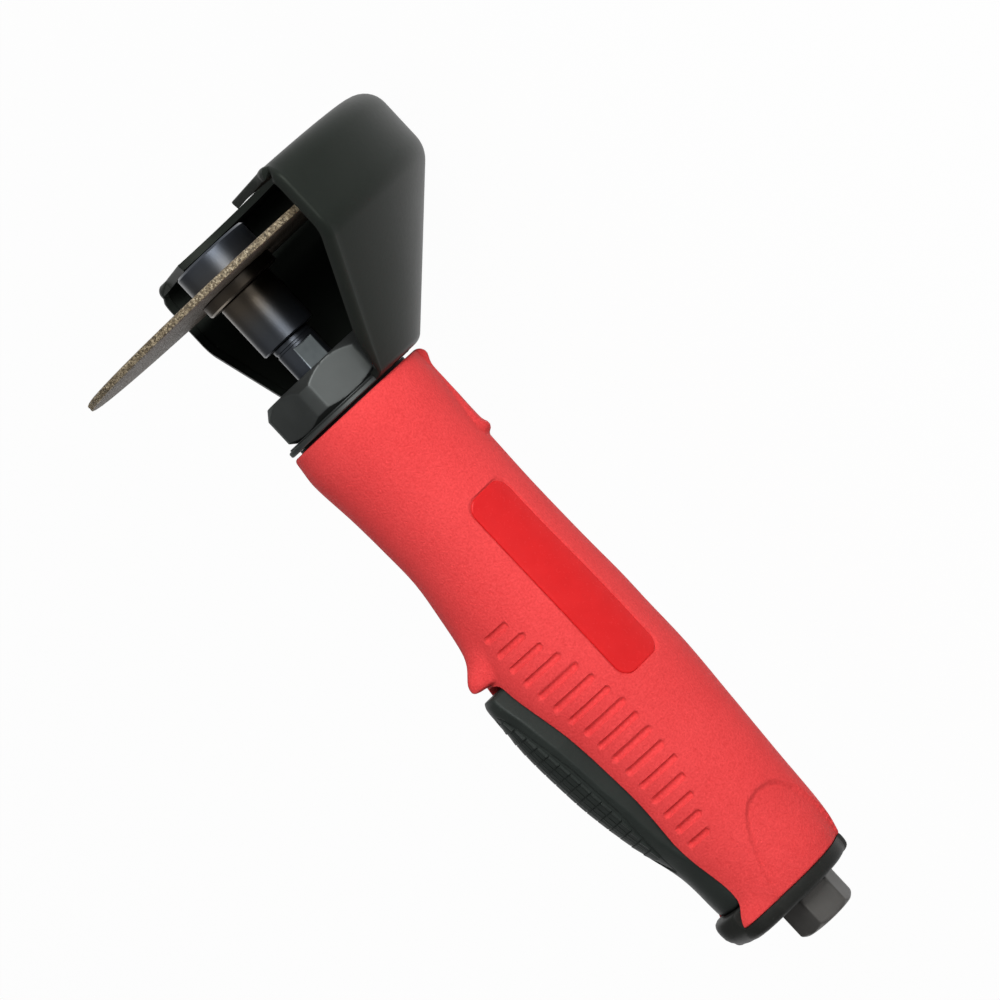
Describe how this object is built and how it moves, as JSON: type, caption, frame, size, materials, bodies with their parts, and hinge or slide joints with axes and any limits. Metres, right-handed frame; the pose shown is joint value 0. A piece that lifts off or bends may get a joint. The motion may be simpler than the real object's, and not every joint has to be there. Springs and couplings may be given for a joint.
{
  "type": "pneumatic cut-off tool",
  "caption": "In-line air-driven cut-off tool: a moulded red grip with a throttle lever, a vane motor, and a spindle that carries an abrasive wheel inside a half-cup guard.",
  "frame": {"origin": "centre of the mouth of the threaded air inlet, on the tool axis", "axes": "+X along the tool axis from the air inlet to the wheel, +Z to the throttle lever, the guard on the -Z half, the pictured flank on the -Y side"},
  "size_m": [0.2414, 0.1212, 0.1114],
  "materials": {
    "red_moulding": "fine-grained moulded",
    "label_red": "smooth gloss",
    "cast_alloy": "as cast",
    "black_moulding": "moulded matte",
    "felt": "pressed felt",
    "dark_steel": "burnished, blackened",
    "bright_steel": "ground",
    "rubber_black": "moulded rubber",
    "brass": "turned",
    "vane_composite": "laminated",
    "plate_alloy": "machined",
    "guard_coat": "satin powder coat",
    "abrasive": "bonded abrasive with fibre mesh"
  },
  "bodies": {
    "handle": {"grip_sleeve": "red_moulding", "label_plate": "label_red", "motor_housing": "cast_alloy", "end_cap": "black_moulding", "exhaust_felt": "felt", "inlet_bushing": "dark_steel", "inlet_o_ring": "rubber_black", "inlet_screen": "brass", "valve_bushing": "brass", "valve_plug": "dark_steel", "throttle_spring": "bright_steel", "rear_end_plate": "plate_alloy", "rear_bearing_outer": "bright_steel", "motor_cylinder": "bright_steel", "alignment_pins": "bright_steel", "front_end_plate": "plate_alloy", "front_bearing_outer": "bright_steel", "clamp_nut": "dark_steel", "shaft_seal": "felt", "lock_washer": "dark_steel"},
    "guard": {"wheel_guard": "guard_coat"},
    "lever": {"throttle_lever": "black_moulding", "lever_pin": "bright_steel"},
    "valve": {"valve_stem": "bright_steel"},
    "rotating_group": {"rotor": "dark_steel", "rotor_vanes": "vane_composite", "spindle": "dark_steel", "rear_bearing_inner": "bright_steel", "rear_bearing_balls": "bright_steel", "front_bearing_inner": "bright_steel", "front_bearing_balls": "bright_steel", "arbor_spacer": "dark_steel", "inner_flange": "dark_steel", "cutoff_wheel": "abrasive", "outer_flange": "dark_steel", "wheel_screw": "dark_steel"}
  },
  "joints": [
    {"name": "lever_press", "type": "hinge", "parent": "handle", "child": "lever", "pos_m": [0.0244, 0, 0.0157], "axis": [0, 1, 0], "range_deg": [0, 5.5], "stiffness_Nm_per_rad": 4, "springref_deg": -5.73},
    {"name": "valve_slide", "type": "slide", "parent": "handle", "child": "valve", "axis": [0, 0, -1], "range_m": [0, 0.003], "deforming": ["throttle_spring"]},
    {"name": "spindle_spin", "type": "hinge", "parent": "handle", "child": "rotating_group", "pos_m": [0.1834, 0, 0], "axis": [1, 0, 0], "continuous": true},
    {"name": "guard_swivel", "type": "hinge", "parent": "handle", "child": "guard", "pos_m": [0.1834, 0, 0], "axis": [1, 0, 0], "range_deg": [-90, 90]}
  ],
  "couplings": [
    {"joint": "valve_slide", "follows": "lever_press", "m_per_rad": 0.031}
  ]
}
